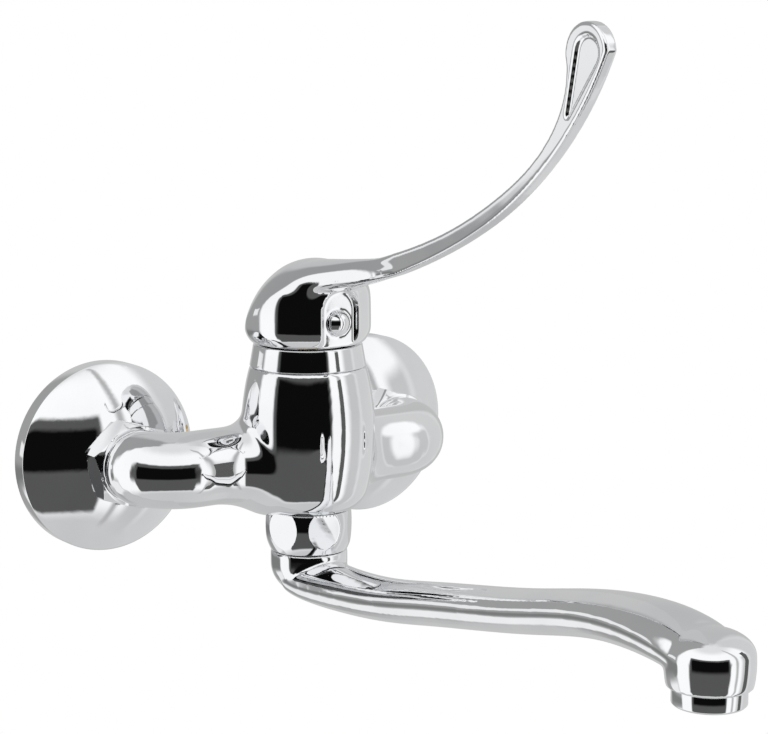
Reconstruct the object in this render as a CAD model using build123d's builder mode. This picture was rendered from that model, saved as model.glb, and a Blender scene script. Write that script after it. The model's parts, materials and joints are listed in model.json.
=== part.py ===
from build123d import *
from math import cos, radians, sin, sqrt
import os

os.makedirs("parts", exist_ok=True)

# Layout. The wall is the plane Y = 0, the room is towards -Y, and up is +Z.
# The origin lies midway between the two wall threads, on the wall.
inlet_spacing = 150.0
axis_distance = 68.0            # body axis in front of the wall
arm_distance = 57.0             # arm axis in front of the wall
tap_rise = 6.0             # tap above the wall threads, taken up by the eccentric unions
overrun = 1.0              # how far a cut runs past the face that it leaves
running_clearance = 0.06   # radial play of a turning fit
fit_clearance = 0.1        # radial play of pieces that are screwed or pushed together
moving_gap = 0.3           # open gap between pieces that pass each other

# Cast body
body_top_height = 45.4
body_top_radius = 27.6
body_belly_height = 12.0
body_belly_radius = 31.9
body_waist_height = -13.5
body_waist_radius = 28.6
body_foot_height = -23.0
body_foot_radius = 21.0
spigot_radius = 16.0
spigot_length = 10.0
arm_radius = 17.9
arm_end_radius = 16.9
elbow_bend = 18.4          # bend radius of the arm's centre line
arm_end_bead = 1.6
arm_flare_shares = (
    (0.53, 0.0, 1.0), (0.43, 0.03, 1.025), (0.345, 0.16, 1.15), (0.27, 0.40, 1.37), (0.17, 0.72, 1.66),
)
channel_radius = 7.0
port_radius = 3.0
port_side = 9.0            # hot and cold ports to each side of the body axis
port_back = 10.0           # and behind it
outlet_radius = 5.0

# Wall connection
wall_thread_radius = 10.48
wall_thread_length = 16.0
wall_bore_radius = 7.5
union_thread_radius = 13.2
union_collar_radius = 17.0
union_collar_length = 9.0     # end of the wide part of the union, out from the wall
rosette_radius = 45.6
rosette_rim = 9.2
rosette_rim_edge = 0.9
rosette_depth = 23.2
rosette_neck_radius = 17.6
rosette_wall = 1.3
rosette_bulge = 1.6
nut_start_distance = 23.5
nut_flats = 38.0
nut_turn = -17.0           # how far the union nuts stand turned from level
nut_length = 12.5
nut_floor = 3.0
tail_radius = 10.0
tail_flange_radius = 12.4
tail_flange = 2.5
washer_thickness = 2.0

# Cartridge
cavity_depth = 33.4        # floor of the cavity below the body's top
cartridge_radius = 20.0
cartridge_base_height = 4.0
disc_height = 3.0
fixed_disc_radius = 17.2
moving_disc_radius = 12.0
carrier_height = 3.0
carrier_radius = 12.6
housing_wall = 2.5
housing_depth = 4.4        # its cover below the body's top
housing_cover = 3.0
rotor_radius = 13.8
rotor_flange_radius = 17.0
rotor_flange = 3.0
rotor_rise = 0.6           # above the body's top
pivot_depth = 13.4         # below the body's top
pivot_radius = 1.5
spindle_width = 7.0
spindle_rise = 25.0        # above the cap's lower edge
spindle_ball_radius = 2.2
slot_front = 7.0           # rotor slot in front of the body axis
slot_back = 12.0           # and behind it
lock_nut_radius = 23.4
lock_nut_inner_radius = 15.0
lock_nut_length = 5.5
lock_nut_seat_depth = 9.4
notch_width = 4.0
notch_count = 6
seal_section = 1.1

# Collar ring
ring_height = 10.8
ring_top_radius = 25.6
ring_wall = 3.6
ring_lip = 20.0
ring_edge = 0.5

# Handle
cap_gap = 0.8              # between the collar ring and the cap
cap_base_radius = 26.4
cap_radius = 29.8
cap_shoulder = 7.0         # height of the rounded lower edge
cap_cavity_gap = 0.35      # cap clear of the collar ring's corner while it tilts
dome_forward = 8.0
dome_base_rise = 0.4       # widest line of the dome above the cap's lower edge
dome_radius = 34.5
dome_rise = 39.6
dome_tilt = 6.0
lever_reach = 216.5
lever_top = 209.0          # above the handle's own zero height
handle_base = 57.0         # the cap's lower edge above the same height
blade_thickness = 6.0
paddle_recess = 1.2
recess_radius = 7.0
recess_point_radius = 0.9
niche_width = 19.0
niche_rise = 27.0          # top of the niche above the cap's lower edge
niche_face = 26.0          # flat face of the niche in front of the body axis
button_rise = 11.4         # middle of the button above the cap's lower edge
button_radius = 5.5
button_depth = 1.6
button_dome = 4.4
button_rim = 1.5
screw_radius = 2.9
screw_length = 8.0
screw_socket = 1.6

# Spout nut and spout
spout_nut_radius = 21.2
spout_nut_end_radius = 18.3
spout_nut_flats = 39.2
spout_nut_turn = -11.5     # how far the spout nut stands turned
spout_nut_length = 19.8
spout_nut_floor = 5.0
spout_collar_radius = 18.4
spout_collar = 6.5
spout_heel = 16.2           # height of the elbow's round heel
spout_reach = 279.0
spout_tail_radius = 11.0
spout_tail_top = -8.0
spout_bore = 7.2
groove_depth = 2.1
groove_width = 2.4
o_ring_section = 1.0
o_ring_steps = (6.0, 12.0)  # below the top of the tail
clip_thickness = 1.8
clip_radius = 14.0
clip_groove = 1.2
spout_end_radius = 17.6
spout_low_drop = 7.574      # lowest point of the spout's middle line below the collar
spout_end_depth = 12.142    # underside of the end block below the middle line's end
spout_end_side_rise = 0.458
spout_end_crown = 10.4      # crown of the end block above its widest line
aerator_radius = 14.7
aerator_skirt = 6.8
aerator_gap = 0.3
aerator_thread_radius = 12.4
aerator_thread = 7.0
aerator_wall = 1.6
aerator_edge = 0.8
aerator_slots = 5
aerator_washer_thickness = 1.0
insert_pitch_share = 0.33  # spacing of the insert's openings, as a share of its radius
insert_hole_share = 0.22


# Levels that follow from the sizes
cavity_floor = body_top_height - cavity_depth
housing_top = body_top_height - housing_depth
rotor_top = body_top_height + rotor_rise
pivot_height = body_top_height - pivot_depth
lock_nut_seat = body_top_height - lock_nut_seat_depth
ring_top_height = body_top_height + ring_height
cap_base = ring_top_height + cap_gap
spindle_top = cap_base + spindle_rise
dome_height = cap_base + dome_base_rise
niche_top = cap_base + niche_rise
button_height = cap_base + button_rise
handle_zero = cap_base - handle_base
half_turn = 180
quarter_turn = 90


def level(height):
    """Horizontal plane on the body axis at a height of the body."""
    return Plane(origin=(0, -axis_distance, tap_rise + height))


def inlet_plane(side):
    """Plane through an inlet's axis: across it, and out from the wall."""
    return Plane(origin=(side * inlet_spacing / 2, 0, tap_rise), x_dir=(1, 0, 0), z_dir=(0, 0, -1))


def inlet_axis(side):
    """Axis of an inlet, pointing out from the wall."""
    return Axis((side * inlet_spacing / 2, 0, tap_rise), (0, -1, 0))


def inlet_face(side, out):
    """Plane across an inlet at a distance out from the wall, facing the room."""
    origin = (side * inlet_spacing / 2, -out, tap_rise)
    return Plane(origin=origin, x_dir=(1, 0, 0), z_dir=(0, -1, 0))


body_axis = Axis((0, -axis_distance, 0), (0, 0, 1))
# Across the body axis, seen from the front, and from the side with the room to the right.
front = Plane(origin=(0, -axis_distance, tap_rise), x_dir=(1, 0, 0), z_dir=(0, -1, 0))
side_view = Plane(origin=(0, -axis_distance, tap_rise), x_dir=(0, -1, 0), z_dir=(-1, 0, 0))
sides = {"left": -1, "right": 1}

# Wall unions: where their parts end, out from the wall
nut_end_distance = nut_start_distance + nut_length
tail_flange_distance = nut_end_distance - nut_floor
washer_distance = tail_flange_distance - tail_flange
union_end_distance = washer_distance - washer_thickness
collar_distance = nut_end_distance + moving_gap


def make_union(side, name):
    """Eccentric union: wall thread, wide collar and the thread for the union nut."""
    stud_plane = Plane(origin=(side * inlet_spacing / 2, 0, 0), x_dir=(1, 0, 0), z_dir=(0, -1, 0))
    with BuildPart() as union:
        with BuildSketch(stud_plane.offset(-wall_thread_length)):
            Circle(wall_thread_radius)
        extrude(amount=wall_thread_length + overrun)
        with BuildSketch(inlet_face(side, 0)):
            Circle(union_collar_radius)
        extrude(amount=union_collar_length)
        with BuildSketch(inlet_face(side, union_collar_length - overrun)):
            Circle(union_thread_radius)
        extrude(amount=union_end_distance - union_collar_length + overrun)
        with BuildSketch(inlet_face(side, union_collar_length / 2)):
            Circle(wall_bore_radius)
        extrude(amount=union_end_distance, mode=Mode.SUBTRACT)
        with BuildSketch(stud_plane.offset(-wall_thread_length - overrun)):
            Circle(wall_bore_radius)
        thread_side = wall_thread_length + overrun + union_collar_length / 2 + overrun
        extrude(amount=thread_side, mode=Mode.SUBTRACT)
    union.part.label = name
    return union.part


def make_rosette(side, name):
    """Flared cover plate: a short rim and a cone that rises to the union nut."""
    cone_middle = (rosette_radius + rosette_neck_radius) / 2
    cone_middle_out = (rosette_rim + rosette_depth) / 2 + rosette_bulge
    with BuildPart() as rosette:
        with BuildSketch(inlet_plane(side)):
            with BuildLine():
                rim = Polyline(
                    (rosette_radius - rosette_wall, 0),
                    (rosette_radius, 0),
                    (rosette_radius, rosette_rim - rosette_rim_edge),
                    (rosette_radius - rosette_rim_edge, rosette_rim),
                )
                cone = ThreePointArc(
                    rim @ 1, (cone_middle, cone_middle_out), (rosette_neck_radius, rosette_depth)
                )
                neck = Line(cone @ 1, (rosette_neck_radius, rosette_depth - rosette_wall))
                inner = ThreePointArc(
                    neck @ 1,
                    (cone_middle - rosette_wall, cone_middle_out - 2 * rosette_wall),
                    (rosette_radius - 2 * rosette_wall, rosette_rim - rosette_wall),
                )
                Line(inner @ 1, rim @ 0)
            make_face()
        revolve(axis=inlet_axis(side))
    rosette.part.label = name
    return rosette.part


def make_union_nut(side, name):
    """Hexagon union nut with turned corners, a thread bore and a floor round the tail."""
    corner_radius = nut_flats / sqrt(3)
    with BuildPart() as nut:
        with BuildSketch(inlet_face(side, nut_start_distance)):
            RegularPolygon(radius=corner_radius, side_count=6, rotation=nut_turn)
        extrude(amount=nut_length)
        with BuildSketch(inlet_plane(side)):
            with BuildLine():
                Polyline(
                    (0, nut_start_distance),
                    (nut_flats / 2, nut_start_distance),
                    (corner_radius, nut_start_distance + (corner_radius - nut_flats / 2)),
                    (corner_radius, nut_end_distance - (corner_radius - nut_flats / 2)),
                    (nut_flats / 2, nut_end_distance),
                    (0, nut_end_distance),
                    close=True,
                )
            make_face()
        revolve(axis=inlet_axis(side), mode=Mode.INTERSECT)
        with BuildSketch(inlet_face(side, nut_start_distance - overrun)):
            Circle(union_thread_radius + fit_clearance)
        extrude(amount=nut_length - nut_floor + overrun, mode=Mode.SUBTRACT)
        with BuildSketch(inlet_face(side, nut_start_distance)):
            Circle(tail_radius + fit_clearance)
        extrude(amount=nut_length + overrun, mode=Mode.SUBTRACT)
    nut.part.label = name
    return nut.part


def make_washer(side, name):
    """Flat sealing washer between the union and the arm's flange."""
    with BuildPart() as washer:
        with BuildSketch(inlet_face(side, union_end_distance)):
            Circle(tail_flange_radius)
            Circle(channel_radius, mode=Mode.SUBTRACT)
        extrude(amount=washer_thickness)
    washer.part.label = name
    return washer.part


for side_name, side in sides.items():
    union_name = side_name + "_eccentric_union"
    export_step(make_union(side, union_name), "parts/" + union_name + ".step")
    export_step(make_rosette(side, side_name + "_rosette"), "parts/" + side_name + "_rosette.step")
    export_step(make_union_nut(side, side_name + "_union_nut"), "parts/" + side_name + "_union_nut.step")
    export_step(make_washer(side, side_name + "_washer"), "parts/" + side_name + "_washer.step")


arm_face = Plane(origin=(0, -arm_distance, tap_rise), x_dir=(0, 1, 0), z_dir=(1, 0, 0))
arm_root = arm_flare_shares[0][0] * inlet_spacing / 2
elbow = inlet_spacing / 2
bend_start = elbow - elbow_bend
bend_end_distance = arm_distance - elbow_bend

with BuildPart() as mixer_body:
    with BuildSketch(front):
        with BuildLine():
            flank = ThreePointArc(
                (body_top_radius, body_top_height),
                (body_belly_radius, body_belly_height),
                (body_waist_radius, body_waist_height),
            )
            foot = TangentArc(flank @ 1, (body_foot_radius, body_foot_height), tangent=flank % 1)
            Polyline(foot @ 1, (0, body_foot_height), (0, body_top_height), flank @ 0)
        make_face()
    revolve(axis=body_axis)
    for side in sides.values():
        # flared root of the arm, higher than the arm where it leaves the barrel
        for station in arm_flare_shares:
            out_share, lift_share, radius_share = station
            with BuildSketch(arm_face.offset(side * out_share * inlet_spacing / 2)):
                with Locations(((1 - radius_share) * arm_radius, lift_share * arm_radius)):
                    Circle(radius_share * arm_radius)
        loft()
        with BuildSketch(arm_face.offset(side * arm_root)):
            Circle(arm_radius)
        extrude(amount=side * (bend_start - arm_root))
        # the arm bends to the wall and ends with a bead towards the union nut
        with BuildSketch(arm_face.offset(side * bend_start)):
            Circle(arm_radius)
        bend_axis = Axis((side * bend_start, -bend_end_distance, 0), (0, 0, side))
        revolve(axis=bend_axis, revolution_arc=quarter_turn)
        with BuildSketch(inlet_face(side, collar_distance)):
            Circle(arm_end_radius)
        extrude(amount=bend_end_distance - collar_distance)
        with BuildSketch(inlet_face(side, collar_distance + arm_end_bead)):
            Circle(arm_radius)
        extrude(amount=bend_end_distance - collar_distance - arm_end_bead)
        with BuildSketch(inlet_face(side, tail_flange_distance)):
            Circle(tail_radius)
        extrude(amount=collar_distance - tail_flange_distance + overrun)
        with BuildSketch(inlet_face(side, washer_distance)):
            Circle(tail_flange_radius)
        extrude(amount=tail_flange)
    with BuildSketch(level(body_foot_height - spigot_length)):
        Circle(spigot_radius)
    extrude(amount=spigot_length + overrun)
    # cartridge cavity, lock nut thread, spout bore and the outlet between them
    with BuildSketch(level(cavity_floor)):
        Circle(cartridge_radius + moving_gap)
    extrude(amount=body_top_height, mode=Mode.SUBTRACT)
    with BuildSketch(level(lock_nut_seat)):
        Circle(lock_nut_radius + fit_clearance)
    extrude(amount=body_top_height, mode=Mode.SUBTRACT)
    with BuildSketch(level(body_foot_height - spigot_length - overrun)):
        Circle(spout_tail_radius + running_clearance)
    extrude(
        amount=spout_tail_top + moving_gap - body_foot_height + spigot_length + overrun,
        mode=Mode.SUBTRACT,
    )
    with BuildSketch(level(spout_tail_top)):
        Circle(outlet_radius)
    extrude(amount=cavity_floor - spout_tail_top + overrun, mode=Mode.SUBTRACT)
    for side in sides.values():
        with BuildSketch(arm_face.offset(side * port_side / 2)):
            Circle(channel_radius)
        extrude(amount=side * (elbow - port_side / 2), mode=Mode.SUBTRACT)
        with Locations((side * elbow, -arm_distance, tap_rise)):
            Sphere(channel_radius, mode=Mode.SUBTRACT)
        with BuildSketch(inlet_face(side, washer_distance - overrun)):
            Circle(channel_radius)
        extrude(amount=arm_distance - washer_distance + overrun, mode=Mode.SUBTRACT)
        with BuildSketch(level(0)):
            with Locations((side * port_side, port_back)):
                Circle(port_radius)
        extrude(amount=cavity_floor + overrun, mode=Mode.SUBTRACT)
mixer_body.part.label = "mixer_body"
export_step(mixer_body.part, "parts/mixer_body.step")

# Cartridge levels, from its floor up
base_top = cavity_floor + cartridge_base_height
fixed_disc_top = base_top + disc_height
moving_disc_top = fixed_disc_top + disc_height
carrier_top = moving_disc_top + carrier_height
rotor_bottom = carrier_top + moving_gap
ball_height = moving_disc_top + carrier_height / 2
housing_bore = cartridge_radius - housing_wall

with BuildPart() as cartridge_base:
    with BuildSketch(level(cavity_floor)):
        Circle(cartridge_radius)
        with Locations((-port_side, port_back), (port_side, port_back)):
            Circle(port_radius, mode=Mode.SUBTRACT)
        Circle(outlet_radius, mode=Mode.SUBTRACT)
    extrude(amount=cartridge_base_height)
    # round grooves under the base for the three port seals
    with BuildSketch(level(cavity_floor)):
        with Locations((-port_side, port_back), (port_side, port_back)):
            Circle(port_radius + 2 * seal_section)
            Circle(port_radius, mode=Mode.SUBTRACT)
        Circle(outlet_radius + 2 * seal_section)
        Circle(outlet_radius, mode=Mode.SUBTRACT)
    extrude(amount=2 * seal_section, mode=Mode.SUBTRACT)
cartridge_base.part.label = "cartridge_base"
export_step(cartridge_base.part, "parts/cartridge_base.step")

with BuildPart() as cartridge_seals:
    with BuildSketch(level(cavity_floor)):
        for place, port in (
            ((-port_side, port_back), port_radius),
            ((port_side, port_back), port_radius),
            ((0, 0), outlet_radius),
        ):
            with Locations(place):
                Circle(port + 2 * seal_section - fit_clearance)
                Circle(port + fit_clearance, mode=Mode.SUBTRACT)
    extrude(amount=2 * seal_section)
cartridge_seals.part.label = "cartridge_seals"
export_step(cartridge_seals.part, "parts/cartridge_seals.step")

with BuildPart() as fixed_disc:
    with BuildSketch(level(base_top)):
        Circle(fixed_disc_radius)
        with Locations((-port_side, port_back), (port_side, port_back)):
            Circle(port_radius, mode=Mode.SUBTRACT)
        Circle(outlet_radius, mode=Mode.SUBTRACT)
    extrude(amount=disc_height)
fixed_disc.part.label = "fixed_disc"
export_step(fixed_disc.part, "parts/fixed_disc.step")

with BuildPart() as moving_disc:
    with BuildSketch(level(fixed_disc_top)):
        Circle(moving_disc_radius)
    extrude(amount=disc_height)
    # mixing chamber in the underside
    with BuildSketch(level(fixed_disc_top)):
        Ellipse(moving_disc_radius * 2 / 3, moving_disc_radius / 2)
    extrude(amount=disc_height / 2, mode=Mode.SUBTRACT)
moving_disc.part.label = "moving_disc"
export_step(moving_disc.part, "parts/moving_disc.step")

with BuildPart() as disc_carrier:
    with BuildSketch(level(moving_disc_top)):
        Circle(carrier_radius)
    extrude(amount=carrier_height)
    with BuildSketch(level(moving_disc_top + moving_gap)):
        Rectangle(spindle_width + 2 * moving_gap, 2 * (spindle_ball_radius + moving_gap))
    extrude(amount=carrier_height, mode=Mode.SUBTRACT)
disc_carrier.part.label = "disc_carrier"
export_step(disc_carrier.part, "parts/disc_carrier.step")

with BuildPart() as cartridge_housing:
    with BuildSketch(level(base_top)):
        Circle(cartridge_radius)
    extrude(amount=housing_top - base_top)
    with BuildSketch(level(base_top - overrun)):
        Circle(housing_bore)
    extrude(amount=housing_top - housing_cover - base_top + overrun, mode=Mode.SUBTRACT)
    with BuildSketch(level(base_top)):
        Circle(rotor_radius + running_clearance)
    extrude(amount=housing_top, mode=Mode.SUBTRACT)
cartridge_housing.part.label = "cartridge_housing"
export_step(cartridge_housing.part, "parts/cartridge_housing.step")

pivot_point = (0, -axis_distance, tap_rise + pivot_height)
pivot_axis_plane = Plane(origin=pivot_point, x_dir=(0, 1, 0), z_dir=(1, 0, 0))

with BuildPart() as cartridge_rotor:
    with BuildSketch(level(rotor_bottom)):
        Circle(rotor_radius)
    extrude(amount=rotor_top - rotor_bottom)
    with BuildSketch(level(rotor_bottom)):
        Circle(rotor_flange_radius)
    extrude(amount=rotor_flange)
    with BuildSketch(level(rotor_bottom - overrun)):
        with Locations((0, (slot_back - slot_front) / 2)):
            Rectangle(spindle_width + 2 * moving_gap, slot_back + slot_front)
    extrude(amount=rotor_top, mode=Mode.SUBTRACT)
    with BuildSketch(pivot_axis_plane):
        Circle(pivot_radius + running_clearance)
    extrude(amount=rotor_radius + overrun, both=True, mode=Mode.SUBTRACT)
cartridge_rotor.part.label = "cartridge_rotor"
export_step(cartridge_rotor.part, "parts/cartridge_rotor.step")

with BuildPart() as pivot_pin:
    with BuildSketch(pivot_axis_plane):
        Circle(pivot_radius)
    extrude(amount=rotor_radius - 2 * moving_gap, both=True)
pivot_pin.part.label = "pivot_pin"
export_step(pivot_pin.part, "parts/pivot_pin.step")

with BuildPart() as lever_spindle:
    with BuildSketch(level(pivot_height)):
        Rectangle(spindle_width, spindle_width)
    extrude(amount=spindle_top - pivot_height)
    with BuildSketch(pivot_axis_plane):
        Circle(spindle_width / 2)
    extrude(amount=spindle_width / 2, both=True)
    with BuildSketch(level(ball_height)):
        Circle(spindle_ball_radius - 2 * moving_gap)
    extrude(amount=pivot_height - ball_height)
    with Locations((0, -axis_distance, tap_rise + ball_height)):
        Sphere(spindle_ball_radius)
    # the ball's underside is flat, clear of the carrier's floor
    with BuildSketch(level(moving_disc_top + 2 * moving_gap)):
        Circle(spindle_ball_radius + overrun)
    extrude(amount=-spindle_ball_radius, mode=Mode.SUBTRACT)
    with BuildSketch(pivot_axis_plane):
        Circle(pivot_radius + running_clearance)
    extrude(amount=spindle_width, both=True, mode=Mode.SUBTRACT)
lever_spindle.part.label = "lever_spindle"
export_step(lever_spindle.part, "parts/lever_spindle.step")

with BuildPart() as cartridge_lock_nut:
    with BuildSketch(level(housing_top)):
        Circle(lock_nut_radius)
        Circle(lock_nut_inner_radius, mode=Mode.SUBTRACT)
    extrude(amount=lock_nut_length)
    with BuildSketch(level(housing_top + lock_nut_length / 2)):
        with PolarLocations(lock_nut_inner_radius, notch_count):
            Rectangle(notch_width, notch_width)
    extrude(amount=lock_nut_length, mode=Mode.SUBTRACT)
cartridge_lock_nut.part.label = "cartridge_lock_nut"
export_step(cartridge_lock_nut.part, "parts/cartridge_lock_nut.step")

with BuildPart() as collar_ring:
    with BuildSketch(front):
        with BuildLine():
            Polyline(
                (body_top_radius - ring_edge, body_top_height),
                (body_top_radius, body_top_height + ring_edge),
                (ring_top_radius + ring_edge / 2, ring_top_height - ring_edge),
                (ring_top_radius - ring_edge / 2, ring_top_height),
                (ring_lip, ring_top_height),
                (ring_lip, ring_top_height - ring_wall),
                (body_top_radius - ring_wall, body_top_height + ring_wall),
                (body_top_radius - ring_wall, body_top_height),
                close=True,
            )
        make_face()
    revolve(axis=body_axis)
collar_ring.part.label = "collar_ring"
export_step(collar_ring.part, "parts/collar_ring.step")

# Handle. The cap's hollow is a ball about the tilting axis, so it clears the ring at any tilt.
ring_corner = sqrt(ring_top_radius**2 + (ring_top_height - pivot_height) ** 2)
cavity_radius = ring_corner + cap_cavity_gap
blade_upper_shares = (
    (0.16, 0.462), (0.293, 0.493), (0.501, 0.560), (0.693, 0.657), (0.815, 0.752), (0.872, 0.838),
    (0.8855, 0.918),
)
blade_lower_shares = (
    (0.9985, 0.946), (0.939, 0.844), (0.855, 0.745), (0.693, 0.616), (0.484, 0.5105),
    (0.300, 0.4455), (0.16, 0.415),
)
paddle_tip_shares = (0.949, 1.0)
recess_centre_shares = (0.944, 0.941)
recess_point_shares = (0.8915, 0.822)
# stations of the root: forward, height, half height, half width, tilt in degrees
root_shares = (
    (0.020, 0.408, 0.050, 0.104, 2),
    (0.085, 0.425, 0.042, 0.096, 4),
    (0.140, 0.438, 0.0345, 0.068, 8),
    (0.200, 0.449, 0.0305, 0.040, 12),
    (0.270, 0.4625, 0.0262, 0.0215, 14),
    (0.345, 0.4835, 0.0225, 0.0138, 16),
)
root_crown_share = 1.5     # the root's section is high above its widest line and shallow below it


def scaled(shares):
    """Points of the handle's outline, from shares of its reach and of its top."""
    return [(forward * lever_reach, handle_zero + height * lever_top) for forward, height in shares]


def lever_station(forward, height, tilt):
    """Plane across the lever: its x runs across and its y runs up the section."""
    slope = radians(tilt)
    origin = (0, -axis_distance - forward * lever_reach, tap_rise + handle_zero + height * lever_top)
    return Plane(origin=origin, x_dir=(1, 0, 0), z_dir=(0, -cos(slope), sin(slope)))


dome_slope = radians(dome_tilt)
dome_plane = Plane(
    origin=(0, -axis_distance - dome_forward, tap_rise + dome_height),
    x_dir=(0, -cos(dome_slope), sin(dome_slope)),
    z_dir=(-1, 0, 0),
)

with BuildPart() as lever_handle:
    with BuildSketch(front):
        with BuildLine():
            edge = ThreePointArc(
                (cap_base_radius, cap_base),
                (cap_radius - (cap_radius - cap_base_radius) / 4, cap_base + cap_shoulder / 2),
                (cap_radius, cap_base + cap_shoulder),
            )
            cap_wall = Line(edge @ 1, (cap_radius, dome_height + dome_rise))
            Polyline(cap_wall @ 1, (0, dome_height + dome_rise), (0, cap_base), edge @ 0)
        make_face()
    revolve(axis=body_axis)
    # the tilted dome cuts the top of the cap
    with BuildSketch(dome_plane):
        with BuildLine():
            EllipticalCenterArc((0, 0), dome_radius, dome_rise, start_angle=-quarter_turn, arc_size=half_turn)
            Line((0, -dome_rise), (0, dome_rise))
        make_face()
    revolve(axis=Axis(dome_plane.origin, dome_plane.y_dir), mode=Mode.INTERSECT)
    # wide root that narrows into the blade
    for forward, height, half_height, half_width, tilt in root_shares:
        across = half_width * lever_reach
        crown_height = half_height * root_crown_share * lever_top
        belly_depth = 2 * half_height * lever_top - crown_height
        widest = height - half_height * (root_crown_share - 1)
        with BuildSketch(lever_station(forward, widest, tilt)):
            with BuildLine():
                crown = EllipticalCenterArc((0, 0), across, crown_height, start_angle=0, arc_size=half_turn)
                EllipticalCenterArc((0, 0), across, belly_depth, start_angle=half_turn, arc_size=half_turn)
            make_face()
    loft()
    with BuildSketch(side_view):
        with BuildLine():
            upper = Spline(*scaled(blade_upper_shares))
            ThreePointArc(
                upper @ 1,
                scaled([paddle_tip_shares])[0],
                scaled(blade_lower_shares)[0],
            )
            lower = Spline(*scaled(blade_lower_shares))
            Line(lower @ 1, upper @ 0)
        make_face()
    extrude(amount=blade_thickness / 2, both=True)
    # drop-shaped recess in both faces of the paddle
    for face_side in sides.values():
        recess_floor = blade_thickness / 2 - paddle_recess
        with BuildSketch(side_view.offset(face_side * recess_floor)):
            with Locations(scaled([recess_centre_shares])[0]):
                Circle(recess_radius)
            with Locations(scaled([recess_point_shares])[0]):
                Circle(recess_point_radius)
            make_hull()
        extrude(amount=face_side * blade_thickness, mode=Mode.SUBTRACT)
    # niche in the front for the index button, with a round head
    niche_round = niche_top - niche_width / 2
    with BuildSketch(front.offset(niche_face)):
        with Locations((0, (cap_base - overrun + niche_round) / 2)):
            Rectangle(niche_width, niche_round - cap_base + overrun)
        with Locations((0, niche_round)):
            Circle(niche_width / 2)
    extrude(amount=cap_radius - niche_face + overrun, mode=Mode.SUBTRACT)
    with BuildSketch(front.offset(niche_face - button_depth)):
        with Locations((0, button_height)):
            Circle(button_radius + fit_clearance)
    extrude(amount=button_depth + overrun, mode=Mode.SUBTRACT)
    with BuildSketch(front):
        with Locations((0, button_height)):
            Circle(screw_radius + fit_clearance)
    extrude(amount=niche_face, mode=Mode.SUBTRACT)
    # spindle socket and the ball-shaped hollow
    with BuildSketch(level(pivot_height)):
        Rectangle(spindle_width + 2 * fit_clearance, spindle_width + 2 * fit_clearance)
    extrude(amount=spindle_top - pivot_height + moving_gap, mode=Mode.SUBTRACT)
    with Locations((0, -axis_distance, tap_rise + pivot_height)):
        Sphere(cavity_radius, mode=Mode.SUBTRACT)
lever_handle.part.label = "lever_handle"
export_step(lever_handle.part, "parts/lever_handle.step")

screw_start = spindle_width / 2 + fit_clearance
with BuildPart() as set_screw:
    with BuildSketch(front.offset(screw_start)):
        with Locations((0, button_height)):
            Circle(screw_radius)
    extrude(amount=screw_length)
    with BuildSketch(front.offset(screw_start + screw_length / 2)):
        with Locations((0, button_height)):
            RegularPolygon(radius=screw_socket, side_count=6)
    extrude(amount=screw_length, mode=Mode.SUBTRACT)
set_screw.part.label = "set_screw"
export_step(set_screw.part, "parts/set_screw.step")

crown_rise = button_dome - button_rim
crown_ball = (button_radius**2 + crown_rise**2) / (2 * crown_rise)
crown_drop = crown_ball - sqrt(crown_ball**2 - button_radius**2 / 4)
with BuildPart() as index_button:
    with BuildSketch(side_view):
        with BuildLine():
            rim = Polyline(
                (niche_face - button_depth, button_height),
                (niche_face - button_depth, button_height + button_radius),
                (niche_face + button_rim, button_height + button_radius),
            )
            crown = ThreePointArc(
                rim @ 1,
                (niche_face + button_dome - crown_drop, button_height + button_radius / 2),
                (niche_face + button_dome, button_height),
            )
            Line(crown @ 1, rim @ 0)
        make_face()
    revolve(axis=Axis((0, -axis_distance, tap_rise + button_height), (0, -1, 0)))
index_button.part.label = "index_button"
export_step(index_button.part, "parts/index_button.step")

# Spout nut: a barrel with six shallow flats
spout_nut_top = body_foot_height - moving_gap
spout_nut_bottom = spout_nut_top - spout_nut_length
spigot_end = body_foot_height - spigot_length
with BuildPart() as spout_nut:
    with BuildSketch(front):
        with BuildLine():
            barrel = ThreePointArc(
                (spout_nut_end_radius, spout_nut_bottom),
                (spout_nut_radius, (spout_nut_bottom + spout_nut_top) / 2),
                (spout_nut_radius - (spout_nut_radius - spout_nut_end_radius) / 3, spout_nut_top),
            )
            Polyline(barrel @ 1, (0, spout_nut_top), (0, spout_nut_bottom), barrel @ 0)
        make_face()
    revolve(axis=body_axis)
    with BuildSketch(level(spout_nut_bottom)):
        RegularPolygon(
            radius=spout_nut_flats / 2, side_count=6, major_radius=False, rotation=spout_nut_turn
        )
    extrude(amount=spout_nut_length, mode=Mode.INTERSECT)
    with BuildSketch(level(spout_nut_bottom + spout_nut_floor)):
        Circle(spigot_radius + fit_clearance)
    extrude(amount=spout_nut_length, mode=Mode.SUBTRACT)
    with BuildSketch(level(spout_nut_bottom - overrun)):
        Circle(spout_tail_radius + moving_gap)
    extrude(amount=spout_nut_length, mode=Mode.SUBTRACT)
spout_nut.part.label = "spout_nut"
export_step(spout_nut.part, "parts/spout_nut.step")

# Inside the nut: the clip rests on the nut's floor, the bush fills up to the spigot
clip_bottom = spout_nut_bottom + spout_nut_floor + moving_gap
clip_top = clip_bottom + clip_thickness
spout_collar_top = spout_nut_bottom - moving_gap
heel_height = spout_collar_top - spout_collar
spout_low = heel_height - spout_low_drop
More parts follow.
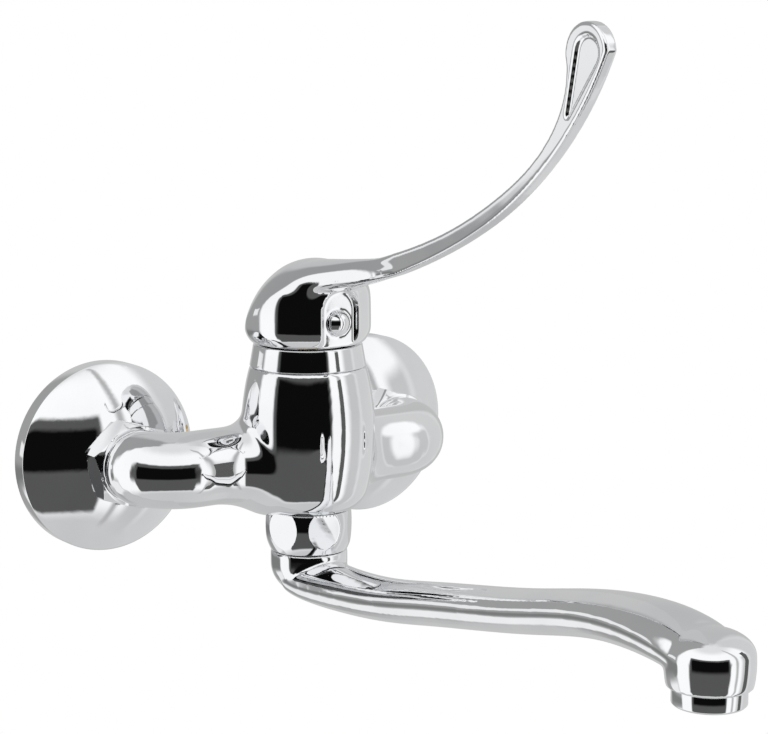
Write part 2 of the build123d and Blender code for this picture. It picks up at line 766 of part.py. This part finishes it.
# stations of the spout: forward, height above its lowest middle line, direction in degrees,
# half width, half height, corner
spout_station_shares = (
    (0.004, 0.0070, -4, 0.930, 0.570, 1.00),
    (0.0717, 0.0000, -3, 0.840, 0.565, 1.02),
    (0.129, 0.0015, 1, 0.760, 0.552, 1.05),
    (0.236, 0.0110, 9, 0.700, 0.535, 1.07),
    (0.3745, 0.0345, 10.5, 0.690, 0.530, 1.08),
    (0.625, 0.0798, 9.5, 0.710, 0.522, 1.08),
    (0.781, 0.1105, 5, 0.765, 0.548, 1.07),
    (0.864, 0.1170, -2, 0.840, 0.590, 1.05),
    (0.932, 0.1145, -11, 0.905, 0.600, 1.03),
    (0.985, 0.1040, -19, 0.930, 0.520, 1.02),
)
corner_angle = radians(36)
heel_angle = radians(48)


def spout_section(plane, half_width, half_height, corner):
    """Section of the spout: a crowned top between two soft ridges, and a rounded underside."""
    ridge_x = corner * half_width * cos(corner_angle)
    ridge_y = corner * half_height * sin(corner_angle)
    heel_x = half_width * cos(heel_angle)
    heel_y = -half_height * sin(heel_angle)
    with BuildSketch(plane) as section:
        with BuildLine():
            ThreePointArc((-ridge_x, ridge_y), (0, half_height), (ridge_x, ridge_y))
            ThreePointArc((ridge_x, ridge_y), (half_width, 0), (heel_x, heel_y))
            ThreePointArc((heel_x, heel_y), (0, -half_height), (-heel_x, heel_y))
            ThreePointArc((-heel_x, heel_y), (-half_width, 0), (-ridge_x, ridge_y))
        make_face()
    return section.sketch


waterway_rise_share = 0.110
waterway_first_share = 0.16
waterway_last_share = 0.80

waterway_low = tap_rise + spout_low
waterway_high = waterway_low + waterway_rise_share * spout_reach

spout_sections = []
for forward, height, direction, width_share, height_share, corner in spout_station_shares:
    slope = radians(direction)
    station_plane = Plane(
        origin=(0, -axis_distance - forward * spout_reach, tap_rise + spout_low + height * spout_reach),
        x_dir=(1, 0, 0),
        z_dir=(0, -cos(slope), sin(slope)),
    )
    spout_sections.append(
        spout_section(
            station_plane, width_share * spout_collar_radius, height_share * spout_collar_radius, corner
        )
    )
outlet_axis = Axis((0, -axis_distance - spout_reach, 0), (0, 0, 1))
outlet_level = Plane(origin=(0, -axis_distance - spout_reach, tap_rise))
outlet_side = Plane(origin=(0, -axis_distance - spout_reach, tap_rise), x_dir=(0, -1, 0), z_dir=(-1, 0, 0))
end_line = spout_low + spout_station_shares[-1][1] * spout_reach
spout_end_bottom = end_line - spout_end_depth
spout_end_side = end_line + spout_end_side_rise
spout_end_top = spout_end_side + spout_end_crown
aerator_top = spout_end_bottom - aerator_gap
thread_top = spout_end_bottom + aerator_thread

with BuildPart() as spout:
    loft(spout_sections)
    # collar under the nut, with the rounded heel of the elbow below it
    with BuildSketch(front):
        with BuildLine():
            collar_side = Line((spout_collar_radius, spout_collar_top), (spout_collar_radius, heel_height))
            heel = EllipticalCenterArc(
                (0, heel_height), spout_collar_radius, spout_heel, start_angle=0, arc_size=-quarter_turn
            )
            Polyline(heel @ 1, (0, spout_collar_top), collar_side @ 0)
        make_face()
    revolve(axis=body_axis)
    with BuildSketch(level(spout_collar_top - overrun)):
        Circle(spout_tail_radius)
    extrude(amount=spout_tail_top - spout_collar_top + overrun)
    # drooping end round the outlet
    with BuildSketch(outlet_side):
        with BuildLine():
            base = Line((0, spout_end_bottom), (spout_end_radius - aerator_edge, spout_end_bottom))
            ThreePointArc(
                base @ 1,
                (spout_end_radius, (spout_end_bottom + spout_end_side) / 2),
                (spout_end_radius, spout_end_side),
            )
            crown = EllipticalCenterArc(
                (0, spout_end_side),
                spout_end_radius,
                spout_end_top - spout_end_side,
                start_angle=0,
                arc_size=quarter_turn,
            )
            Line(crown @ 1, base @ 0)
        make_face()
    revolve(axis=outlet_axis)
    # waterway and the thread for the aerator
    with BuildLine() as waterway:
        FilletPolyline(
            (0, -axis_distance, tap_rise + spout_tail_top + overrun),
            (0, -axis_distance, waterway_low),
            (0, -axis_distance - waterway_first_share * spout_reach, waterway_low),
            (0, -axis_distance - waterway_last_share * spout_reach, waterway_high),
            (0, -axis_distance - spout_reach, waterway_high),
            radius=spout_bore,
        )
    with BuildSketch(level(spout_tail_top + overrun)):
        Circle(spout_bore)
    sweep(path=waterway.line, mode=Mode.SUBTRACT)
    with BuildSketch(outlet_level.offset(spout_end_bottom - overrun)):
        Circle(aerator_thread_radius + fit_clearance)
    extrude(amount=aerator_thread + 2 * overrun, mode=Mode.SUBTRACT)
    # grooves in the tail for the two seals and the clip
    for step in o_ring_steps:
        with BuildSketch(level(spout_tail_top - step)):
            Circle(spout_tail_radius + overrun)
            Circle(spout_tail_radius - groove_depth, mode=Mode.SUBTRACT)
        extrude(amount=groove_width / 2, both=True, mode=Mode.SUBTRACT)
    with BuildSketch(level(clip_bottom - fit_clearance)):
        Circle(spout_tail_radius + overrun)
        Circle(spout_tail_radius - clip_groove, mode=Mode.SUBTRACT)
    extrude(amount=clip_thickness + 2 * fit_clearance, mode=Mode.SUBTRACT)
spout.part.label = "spout"
export_step(spout.part, "parts/spout.step")

with BuildPart() as spout_o_rings:
    for step in o_ring_steps:
        with Locations((0, -axis_distance, tap_rise + spout_tail_top - step)):
            Torus(spout_tail_radius - o_ring_section - running_clearance, o_ring_section)
spout_o_rings.part.label = "spout_o_rings"
export_step(spout_o_rings.part, "parts/spout_o_rings.step")

with BuildPart() as spout_clip:
    with BuildSketch(level(clip_bottom)):
        Circle(clip_radius)
        Circle(spout_tail_radius - clip_groove + fit_clearance, mode=Mode.SUBTRACT)
        # the ring is split so that it can spring into its groove
        with Locations((clip_radius, 0)):
            Rectangle(clip_radius, 2 * clip_thickness, mode=Mode.SUBTRACT)
    extrude(amount=clip_thickness)
spout_clip.part.label = "spout_clip"
export_step(spout_clip.part, "parts/spout_clip.step")

with BuildPart() as spout_bush:
    with BuildSketch(level(clip_top + moving_gap)):
        Circle(spigot_radius)
        Circle(spout_tail_radius + running_clearance, mode=Mode.SUBTRACT)
    extrude(amount=spigot_end - clip_top - moving_gap)
spout_bush.part.label = "spout_bush"
export_step(spout_bush.part, "parts/spout_bush.step")

# Aerator
aerator_bottom = aerator_top - aerator_skirt
with BuildPart() as aerator_housing:
    with BuildSketch(outlet_side):
        with BuildLine():
            Polyline(
                (aerator_thread_radius - aerator_wall, aerator_bottom),
                (aerator_radius - aerator_edge, aerator_bottom),
                (aerator_radius, aerator_bottom + aerator_edge),
                (aerator_radius, aerator_top),
                (aerator_thread_radius, aerator_top),
                (aerator_thread_radius, thread_top),
                (aerator_thread_radius - aerator_wall, thread_top),
                close=True,
            )
        make_face()
    revolve(axis=outlet_axis)
aerator_housing.part.label = "aerator_housing"
export_step(aerator_housing.part, "parts/aerator_housing.step")

insert_radius = aerator_thread_radius - aerator_wall - fit_clearance
insert_height = aerator_skirt
insert_pitch = insert_radius * insert_pitch_share
insert_hole = insert_radius * insert_hole_share
with BuildPart() as aerator_insert:
    with BuildSketch(outlet_level.offset(aerator_bottom + aerator_edge)):
        Circle(insert_radius)
        with GridLocations(insert_pitch, insert_pitch, aerator_slots, aerator_slots):
            Rectangle(insert_hole, insert_hole, mode=Mode.SUBTRACT)
    extrude(amount=insert_height)
aerator_insert.part.label = "aerator_insert"
export_step(aerator_insert.part, "parts/aerator_insert.step")

with BuildPart() as aerator_washer:
    with BuildSketch(outlet_level.offset(thread_top)):
        Circle(aerator_thread_radius)
        Circle(insert_radius - aerator_wall, mode=Mode.SUBTRACT)
    extrude(amount=aerator_washer_thickness)
aerator_washer.part.label = "aerator_washer"
export_step(aerator_washer.part, "parts/aerator_washer.step")
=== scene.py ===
import json
import math

import bpy
import bmesh
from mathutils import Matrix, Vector


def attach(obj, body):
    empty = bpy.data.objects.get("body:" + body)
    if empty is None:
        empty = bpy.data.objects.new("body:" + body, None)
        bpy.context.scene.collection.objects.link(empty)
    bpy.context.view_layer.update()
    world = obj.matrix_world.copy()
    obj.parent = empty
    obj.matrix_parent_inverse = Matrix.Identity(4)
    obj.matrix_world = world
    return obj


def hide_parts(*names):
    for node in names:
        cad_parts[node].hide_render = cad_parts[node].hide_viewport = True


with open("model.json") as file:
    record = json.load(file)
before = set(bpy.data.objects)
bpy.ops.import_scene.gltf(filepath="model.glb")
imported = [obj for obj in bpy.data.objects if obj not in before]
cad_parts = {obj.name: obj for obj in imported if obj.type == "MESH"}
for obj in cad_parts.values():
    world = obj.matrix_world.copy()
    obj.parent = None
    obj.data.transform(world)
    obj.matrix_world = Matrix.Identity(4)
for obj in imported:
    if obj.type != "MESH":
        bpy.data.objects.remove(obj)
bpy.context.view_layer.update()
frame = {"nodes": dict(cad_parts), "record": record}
nodes = frame["nodes"]
bodyOf = {node: body for body, held in frame["record"]["behaviour"]["bodies"].items() for node in held}
print("frame loaded:", len(nodes), "nodes")

mm = 0.001

# the view of the photograph, from the left of the tap's front; angles in degrees
shot = {
    "azimuth": 35.0,
    "elevation": 9.5,
    "focalPixels": 2300.0,
    "imageWidth": 768,
    "sensor": 36.0,
    "nearest": 10 * mm,
    "position": (-585.99 * mm, -967.56 * mm, 229.98 * mm),
}


def putCamera():
    a, e = math.radians(shot["azimuth"]), math.radians(shot["elevation"])
    lookAlong = Vector((math.sin(a) * math.cos(e), math.cos(a) * math.cos(e), -math.sin(e)))
    data = bpy.data.cameras.new("shotCamera")
    data.sensor_width = shot["sensor"]
    data.sensor_fit = "HORIZONTAL"
    data.lens = shot["focalPixels"] / shot["imageWidth"] * shot["sensor"]
    data.clip_start = shot["nearest"]
    camera = bpy.data.objects.new("shotCamera", data)
    bpy.context.scene.collection.objects.link(camera)
    camera.location = shot["position"]
    camera.rotation_euler = lookAlong.to_track_quat("-Z", "Y").to_euler()
    bpy.context.scene.camera = camera


putCamera()
bpy.context.scene.view_settings.view_transform = "Standard"
print("camera placed")


# a socket of a node tree that can be used in sums
class Wire:
    def __init__(self, tree, socket):
        self.tree, self.socket = tree, socket

    def calc(self, operation, *others):
        return self.tree.add("ShaderNodeMath", {"operation": operation}, (self,) + others)

    def __add__(self, other):
        return self.calc("ADD", other)

    __radd__ = __add__

    def __mul__(self, other):
        return self.calc("MULTIPLY", other)

    __rmul__ = __mul__

    def __sub__(self, other):
        return self.calc("SUBTRACT", other)

    def __rsub__(self, other):
        return self.tree.add("ShaderNodeMath", {"operation": "SUBTRACT"}, (other, self))


# a node tree; add() makes a node from its type, its settings and what goes into its sockets
class Tree:
    def __init__(self, owner):
        owner.use_nodes = True
        self.inside = owner.node_tree
        self.inside.nodes.clear()

    def add(self, kind, settings=None, inputs=(), output=0):
        node = self.inside.nodes.new(kind)
        for key, value in (settings or {}).items():
            setattr(node, key, value)
        pairs = inputs.items() if isinstance(inputs, dict) else enumerate(inputs)
        for key, value in pairs:
            if isinstance(value, Wire):
                self.inside.links.new(value.socket, node.inputs[key])
            else:
                node.inputs[key].default_value = value
        return Wire(self, node.outputs[output]) if node.outputs else node

    def smooth(self, value, low, high):
        sockets = {"Value": value, "From Min": low, "From Max": high}
        return self.add("ShaderNodeMapRange", {"interpolation_type": "SMOOTHSTEP"}, sockets)

    def noise(self, place, scale, detail=2.0, rough=0.5):
        sockets = {"Vector": place, "Scale": scale, "Detail": detail, "Roughness": rough}
        return self.add("ShaderNodeTexNoise", {}, sockets, "Fac")

    def blend(self, amount, first, second):
        sockets = {0: amount, 6: first, 7: second}
        return self.add("ShaderNodeMix", {"data_type": "RGBA"}, sockets, 2)


# the light tent round the tap, as mirrored by the chrome: later panels lie over earlier ones; angles are in
# degrees, and turn is counted from the camera towards the picture's right
tent = {
    "base": 1.08,
    "panels": (
        # turn from, to, lift from, to, soft edge, brightness
        (-400, 400, 62, 120, 12, 0.82),
        (-400, 400, -120, -50, 9, 0.64),
        (-400, -96, -120, 78, 4, 0.36),
        (-400, -96, -120, -43, 5, 0.58),
        (-400, -96, -20, -11, 3, 0.22),
        (-128, -97, -44, -24, 3, 0.94),
        (-118, -102, -5.2, 3, 1.0, 0.90),
        (60, 67, -60, 70, 3, 0.50),
        (78, 104, -60, 24, 6, 0.62),
        (104, 150, -60, 75, 8, 0.68),
        (150, 400, -80, 78, 9, 0.55),
        (-400, -154, -80, 78, 7, 0.58),
        (-61, 44, -50, 27, 2.5, 0.10),
        (-55, 40, -15.5, 18, 2.5, 0.004),
    ),
}


def buildTent():
    world = bpy.data.worlds.new("lightTent")
    bpy.context.scene.world = world
    tree = Tree(world)
    a = math.radians(shot["azimuth"])
    direction = tree.add("ShaderNodeTexCoord", output="Generated")
    split = tree.add("ShaderNodeSeparateXYZ", {}, (direction,))
    x, y, z = (Wire(tree, split.socket.node.outputs[i]) for i in range(3))
    toward = x * -math.sin(a) + y * -math.cos(a)
    across = x * math.cos(a) + y * -math.sin(a)
    turn = across.calc("ARCTAN2", toward) * math.degrees(1)
    lift = z.calc("ARCSINE") * math.degrees(1)
    level = tent["base"]
    for left, right, low, high, soft, brightness in tent["panels"]:
        inTurn = tree.smooth(turn, left - soft, left + soft) - tree.smooth(turn, right - soft, right + soft)
        inLift = tree.smooth(lift, low - soft, low + soft) - tree.smooth(lift, high - soft, high + soft)
        mask = inTurn * inLift
        level = (1 - mask) * level + mask * brightness
    # the camera itself sees plain white
    seen = tree.add("ShaderNodeLightPath", output="Is Camera Ray")
    shade = seen.calc("MAXIMUM", level)
    background = tree.add("ShaderNodeBackground", {}, (shade, 1.0))
    tree.add("ShaderNodeOutputWorld", {}, (background,))


# a grey card out in front on the right, which mostly the left arm mirrors
greyCard = {
    "place": (221 * mm, -500 * mm, -190 * mm),
    "width": 66 * mm,
    "height": 720 * mm,
    "brightness": 0.115,
    "grainScale": 9.0,
    "grain": 0.3,
    "darkest": 0.85,
}


def buildCard():
    s = greyCard
    turned = (math.pi / 2, 0, math.radians(shot["azimuth"]))
    bpy.ops.mesh.primitive_plane_add(size=1, location=s["place"], rotation=turned)
    card = bpy.context.object
    card.name = "greyCard"
    card.scale = (s["width"], s["height"], 1)
    bpy.ops.object.transform_apply(location=False, rotation=True, scale=True)
    card.visible_camera = False
    card.visible_diffuse = False
    card.visible_shadow = False
    material = bpy.data.materials.new("greyCard")
    tree = Tree(material)
    place = tree.add("ShaderNodeTexCoord", output="Object")
    grain = tree.noise(place, s["grainScale"]) * s["grain"] + s["darkest"]
    glow = tree.add("ShaderNodeEmission", {}, {"Color": grain * s["brightness"], "Strength": 1.0})
    tree.add("ShaderNodeOutputMaterial", {}, (glow,))
    card.data.materials.append(material)


# pale floor below the tap; the camera sees it as white as the background
paleFloor = {
    "centre": (0, -150 * mm, -420 * mm),
    "radius": 900 * mm,
    "corners": 64,
    "grainScale": 40.0,
    "tones": ((0.80, 0.80, 0.79, 1), (0.84, 0.84, 0.83, 1)),
}


def buildFloor():
    s = paleFloor
    sizes = {"vertices": s["corners"], "radius": s["radius"], "location": s["centre"]}
    bpy.ops.mesh.primitive_circle_add(fill_type="NGON", **sizes)
    floor = bpy.context.object
    floor.name = "floor"
    floor.visible_glossy = False
    material = bpy.data.materials.new("floorPaper")
    tree = Tree(material)
    place = tree.add("ShaderNodeTexCoord", output="Object")
    tone = tree.blend(tree.noise(place, s["grainScale"]), *s["tones"])
    paper = tree.add("ShaderNodeBsdfDiffuse", {}, {"Color": tone})
    white = tree.add("ShaderNodeEmission", {}, {"Color": (1, 1, 1, 1), "Strength": 1.0})
    seen = tree.add("ShaderNodeLightPath", output="Is Camera Ray")
    shown = tree.add("ShaderNodeMixShader", {}, (seen, paper, white))
    tree.add("ShaderNodeOutputMaterial", {}, (shown,))
    floor.data.materials.append(material)


bpy.ops.object.select_all(action="DESELECT")
buildTent()
buildCard()
buildFloor()
print("light tent and floor built")


# finishes: two tones that drift over the surface, a range of roughness, and a fine relief; the scales are
# those of the noise, and fineShare is how much of the finer noise the relief takes
finishes = {
    "polishedChrome": {
        "tones": ((0.83, 0.84, 0.855), (0.90, 0.905, 0.915)),
        "driftScale": 22.0,
        "roughness": (0.022, 0.055),
        "wearScale": 160.0,
        "reliefScale": 38.0,
        "fineScale": 1400.0,
        "fineShare": 0.004,
        "reliefDepth": 0.22 * mm,
        "metallic": 1.0,
    },
    "machinedBrass": {
        "tones": ((0.66, 0.49, 0.24), (0.76, 0.60, 0.33)),
        "driftScale": 60.0,
        "roughness": (0.22, 0.36),
        "wearScale": 300.0,
        "reliefScale": 400.0,
        "fineScale": 2500.0,
        "fineShare": 0.3,
        "reliefDepth": 0.05 * mm,
        "metallic": 1.0,
    },
    "turnedSteel": {
        "tones": ((0.50, 0.51, 0.52), (0.64, 0.64, 0.65)),
        "driftScale": 80.0,
        "roughness": (0.20, 0.34),
        "wearScale": 300.0,
        "reliefScale": 500.0,
        "fineScale": 2600.0,
        "fineShare": 0.3,
        "reliefDepth": 0.04 * mm,
        "metallic": 1.0,
    },
    "whiteAcetal": {
        "tones": ((0.80, 0.80, 0.77), (0.86, 0.86, 0.84)),
        "driftScale": 50.0,
        "roughness": (0.38, 0.52),
        "wearScale": 250.0,
        "reliefScale": 300.0,
        "fineScale": 2200.0,
        "fineShare": 0.4,
        "reliefDepth": 0.04 * mm,
        "metallic": 0.0,
    },
    "lappedCeramic": {
        "tones": ((0.88, 0.87, 0.84), (0.93, 0.92, 0.90)),
        "driftScale": 90.0,
        "roughness": (0.10, 0.18),
        "wearScale": 400.0,
        "reliefScale": 500.0,
        "fineScale": 3000.0,
        "fineShare": 0.4,
        "reliefDepth": 0.01 * mm,
        "metallic": 0.0,
    },
    "blackRubber": {
        "tones": ((0.030, 0.030, 0.031), (0.060, 0.060, 0.061)),
        "driftScale": 90.0,
        "roughness": (0.60, 0.78),
        "wearScale": 300.0,
        "reliefScale": 600.0,
        "fineScale": 3000.0,
        "fineShare": 0.5,
        "reliefDepth": 0.06 * mm,
        "metallic": 0.0,
    },
}


# the noise behind all finishes: its detail, and the part of its range that counts
finishNoise = {
    "driftDetail": 3.0,
    "driftRange": (0.3, 0.7),
    "wearDetail": 5.0,
    "wearCoarseness": 0.62,
    "wearRange": (0.35, 0.75),
    "reliefDetail": 1.0,
    "fineDetail": 2.0,
}


def makeFinish(name):
    s, n = finishes[name], finishNoise
    material = bpy.data.materials.new(name)
    tree = Tree(material)
    place = tree.add("ShaderNodeTexCoord", output="Object")
    drift = tree.smooth(tree.noise(place, s["driftScale"], n["driftDetail"]), *n["driftRange"])
    tone = tree.blend(drift, s["tones"][0] + (1,), s["tones"][1] + (1,))
    marks = tree.noise(place, s["wearScale"], n["wearDetail"], n["wearCoarseness"])
    wear = tree.smooth(marks, *n["wearRange"])
    low, high = s["roughness"]
    rough = wear * (high - low) + low
    waves = tree.noise(place, s["reliefScale"], n["reliefDetail"])
    relief = waves + tree.noise(place, s["fineScale"], n["fineDetail"]) * s["fineShare"]
    heights = {"Strength": 1.0, "Distance": s["reliefDepth"], "Height": relief}
    bump = tree.add("ShaderNodeBump", {}, heights)
    sockets = {"Base Color": tone, "Metallic": s["metallic"], "Roughness": rough, "Normal": bump}
    shader = tree.add("ShaderNodeBsdfPrincipled", {}, sockets)
    tree.add("ShaderNodeOutputMaterial", {}, (shader,))
    return material


finishOf = {
    "polished_chrome": makeFinish("polishedChrome"),
    "brass": makeFinish("machinedBrass"),
    "stainless_steel": makeFinish("turnedSteel"),
    "white_acetal": makeFinish("whiteAcetal"),
    "ceramic": makeFinish("lappedCeramic"),
    "black_rubber": makeFinish("blackRubber"),
}
slotOf = {entry["node"]: entry["material_slot"] for entry in frame["record"]["subparts"]}
print("finishes made")


def dressNodes():
    # every carried-over node gets its finish in its own slots
    for name, node in nodes.items():
        finish = finishOf[slotOf[name]]
        if not node.data.materials:
            node.data.materials.append(finish)
        for place in range(len(node.material_slots)):
            node.material_slots[place].material = finish


dressNodes()


# castings whose parts melt into each other: grain of the remesh, rounds of smoothing, and regions that are
# eased further, in millimetres: out from the middle, out from the wall and up, each with where the extra
# smoothing starts, is full, begins to fade and ends
castings = {
    "leverHandle": {
        "node": "lever_handle",
        "voxel": 0.62 * mm,
        "rounds": 7,
        "soft": (
            {"rounds": 260, "x": (11, 16, 60, 61), "y": (0, 1, 110, 122), "z": (75, 84, 108, 118)},
            {"rounds": 45, "x": (-1, 0, 60, 61), "y": (70, 80, 128, 142), "z": (88, 93, 130, 140)},
        ),
    },
    "castBody": {
        "node": "mixer_body",
        "voxel": 0.95 * mm,
        "rounds": 8,
        "soft": (
            {"rounds": 50, "x": (19, 24, 38, 46), "y": (20, 30, 120, 130), "z": (-40, -30, 38, 44)},
        ),
        # hollows where the arms leave the barrel: distance out, front, top and bottom in millimetres
        "roots": (
            (48, -74.6, 23.6, -11.8),
            (45, -74.9, 23.9, -12.1),
            (40, -75.4, 24.0, -12.8),
            (36, -76.6, 24.3, -13.8),
            (32, -78.7, 25.2, -15.2),
            (28, -82.2, 27.8, -17.2),
            (26, -84.9, 29.3, -18.4),
            (20, -87.0, 36.0, -20.0),
        ),
        "rootBack": -39.3,
        "rootCorners": 96,
    },
    "castSpout": {"node": "spout", "voxel": 0.8 * mm, "rounds": 9},
    "spoutNut": {"node": "spout_nut", "voxel": 0.36 * mm, "rounds": 4},
    "indexButton": {"node": "index_button", "voxel": 0.24 * mm, "rounds": 16},
}


# how near two corners are to be merged, and how far each round of smoothing goes
weldReach = 0.001 * mm
easeFactor = 0.5


def applyAll(piece):
    bpy.ops.object.select_all(action="DESELECT")
    piece.select_set(True)
    bpy.context.view_layer.objects.active = piece
    for modifier in list(piece.modifiers):
        bpy.ops.object.modifier_apply(modifier=modifier.name)


def copyOfNode(name, source):
    # the solids' mesh comes with a seam round each face, which the weld closes
    piece = bpy.data.objects.new(name, nodes[source].data.copy())
    bpy.context.scene.collection.objects.link(piece)
    weld = piece.modifiers.new("weld", "WELD")
    weld.merge_threshold = weldReach
    return piece


def finishPiece(piece, source):
    piece.data.materials.clear()
    piece.data.materials.append(finishOf[slotOf[source]])
    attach(piece, bodyOf[source])
    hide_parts(source)


def ramp(value, limits):
    start, full, fade, end = limits
    return max(0.0, min(1.0, (value - start) / (full - start), (end - value) / (end - fade)))


def softWeight(place, soft):
    out, front, up = abs(place.x) / mm, -place.y / mm, place.z / mm
    return ramp(out, soft["x"]) * ramp(front, soft["y"]) * ramp(up, soft["z"])


def smoothing(piece, name, rounds):
    ease = piece.modifiers.new(name, "SMOOTH")
    ease.factor = easeFactor
    ease.iterations = rounds
    return ease


def easeRegion(piece, soft):
    group = piece.vertex_groups.new(name="soft")
    for vertex in piece.data.vertices:
        weight = softWeight(vertex.co, soft)
        if weight > 0:
            group.add([vertex.index], weight, "REPLACE")
    smoothing(piece, "easeRegion", soft["rounds"]).vertex_group = group.name
    applyAll(piece)
    piece.vertex_groups.clear()


def addRoots(piece, s):
    # a closed skin of oval rings on each side, which the remesh joins to the casting
    shape = bmesh.new()
    shape.from_mesh(piece.data)
    corners, back = s["rootCorners"], s["rootBack"]
    for side in (-1, 1):
        rings = []
        for out, front, top, bottom in s["roots"]:
            ring = []
            for corner in range(corners):
                angle = 2 * math.pi * corner / corners
                y = (front + back) / 2 + (back - front) / 2 * math.cos(angle)
                z = (top + bottom) / 2 + (top - bottom) / 2 * math.sin(angle)
                ring.append(shape.verts.new((side * out * mm, y * mm, z * mm)))
            rings.append(ring)
        for first, second in zip(rings, rings[1:]):
            for corner in range(corners):
                after = (corner + 1) % corners
                shape.faces.new((first[corner], first[after], second[after], second[corner]))
        shape.faces.new(rings[0])
        shape.faces.new(list(reversed(rings[-1])))
    bmesh.ops.recalc_face_normals(shape, faces=shape.faces)
    shape.to_mesh(piece.data)
    shape.free()


def makeCastings():
    for name, s in castings.items():
        piece = copyOfNode(name, s["node"])
        if "roots" in s:
            addRoots(piece, s)
        remesh = piece.modifiers.new("remesh", "REMESH")
        remesh.mode = "VOXEL"
        remesh.voxel_size = s["voxel"]
        smoothing(piece, "ease", s["rounds"])
        applyAll(piece)
        for soft in s.get("soft", ()):
            easeRegion(piece, soft)
        bpy.ops.object.shade_smooth()
        finishPiece(piece, s["node"])
        print("cast", name, len(piece.data.polygons), "faces")


makeCastings()


# turned and pressed pieces: true edges get a small rounded break
turned = {
    "edgeBreak": 0.25 * mm,
    "edgeAngle": 28.0,
    "segments": 3,
    "nodes": (
        "left_rosette",
        "right_rosette",
        "left_union_nut",
        "right_union_nut",
        "collar_ring",
        "aerator_housing",
    ),
}


def makeTurned():
    for source in turned["nodes"]:
        name = "".join(word.capitalize() if i else word for i, word in enumerate(source.split("_")))
        piece = copyOfNode(name, source)
        rounding = piece.modifiers.new("edges", "BEVEL")
        rounding.width = turned["edgeBreak"]
        rounding.segments = turned["segments"]
        rounding.limit_method = "ANGLE"
        rounding.angle_limit = math.radians(turned["edgeAngle"])
        applyAll(piece)
        bpy.ops.object.shade_smooth_by_angle(angle=math.radians(turned["edgeAngle"]))
        finishPiece(piece, source)
        print("turned", name, len(piece.data.polygons), "faces")


makeTurned()
